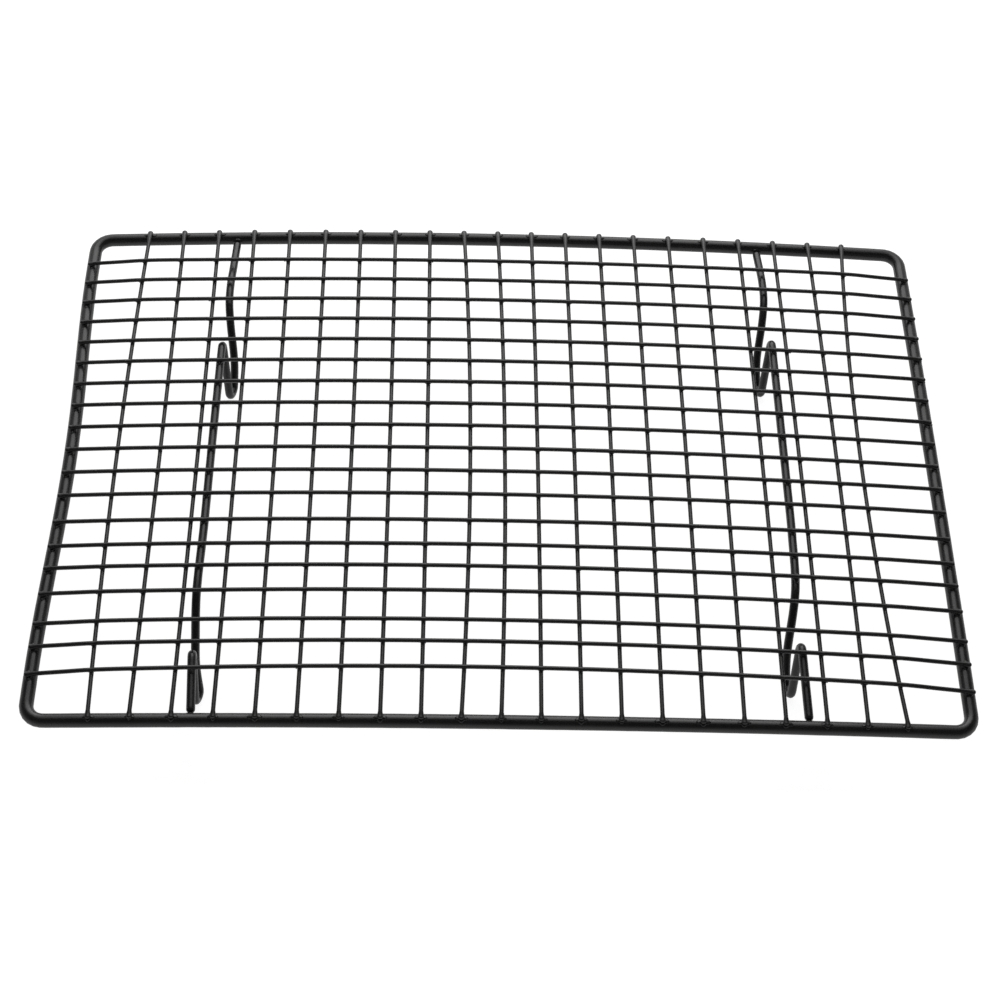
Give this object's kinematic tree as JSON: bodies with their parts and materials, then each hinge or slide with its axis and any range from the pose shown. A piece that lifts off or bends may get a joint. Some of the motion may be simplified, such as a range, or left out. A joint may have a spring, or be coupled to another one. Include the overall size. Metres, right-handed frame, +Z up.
{
  "type": "cooling rack",
  "caption": "Rectangular coated wire rack: a fine welded grid over a thick rim, held up on bent wire feet so that air reaches under baked goods.",
  "frame": {"origin": "on the surface that the rack stands on, under the middle of its outline", "axes": "+X along the long side, to the right as seen from the front; +Y from the front rail to the back rail; +Z up"},
  "size_m": [0.4206, 0.2886, 0.0388],
  "materials": {
    "rim_coating": "satin black non-stick coating on thick steel wire",
    "cross_wire_coating": "satin black non-stick coating on thin steel wire",
    "long_wire_coating": "satin black non-stick coating on thin steel wire",
    "leg_coating": "satin black non-stick coating on bent steel wire"
  },
  "bodies": {
    "root": {"rim_frame": "rim_coating", "cross_wire_01": "cross_wire_coating", "cross_wire_02": "cross_wire_coating", "cross_wire_03": "cross_wire_coating", "cross_wire_04": "cross_wire_coating", "cross_wire_05": "cross_wire_coating", "cross_wire_06": "cross_wire_coating", "cross_wire_07": "cross_wire_coating", "cross_wire_08": "cross_wire_coating", "cross_wire_09": "cross_wire_coating", "cross_wire_10": "cross_wire_coating", "cross_wire_11": "cross_wire_coating", "cross_wire_12": "cross_wire_coating", "cross_wire_13": "cross_wire_coating", "cross_wire_14": "cross_wire_coating", "cross_wire_15": "cross_wire_coating", "cross_wire_16": "cross_wire_coating", "cross_wire_17": "cross_wire_coating", "cross_wire_18": "cross_wire_coating", "cross_wire_19": "cross_wire_coating", "cross_wire_20": "cross_wire_coating", "cross_wire_21": "cross_wire_coating", "long_wire_01": "long_wire_coating", "long_wire_02": "long_wire_coating", "long_wire_03": "long_wire_coating", "long_wire_04": "long_wire_coating", "long_wire_05": "long_wire_coating", "long_wire_06": "long_wire_coating", "long_wire_07": "long_wire_coating", "long_wire_08": "long_wire_coating", "long_wire_09": "long_wire_coating", "long_wire_10": "long_wire_coating", "long_wire_11": "long_wire_coating", "long_wire_12": "long_wire_coating", "long_wire_13": "long_wire_coating", "long_wire_14": "long_wire_coating", "long_wire_15": "long_wire_coating", "long_wire_16": "long_wire_coating", "long_wire_17": "long_wire_coating", "long_wire_18": "long_wire_coating", "long_wire_19": "long_wire_coating", "left_leg_wire": "leg_coating", "right_leg_wire": "leg_coating"}
  },
  "joints": []
}
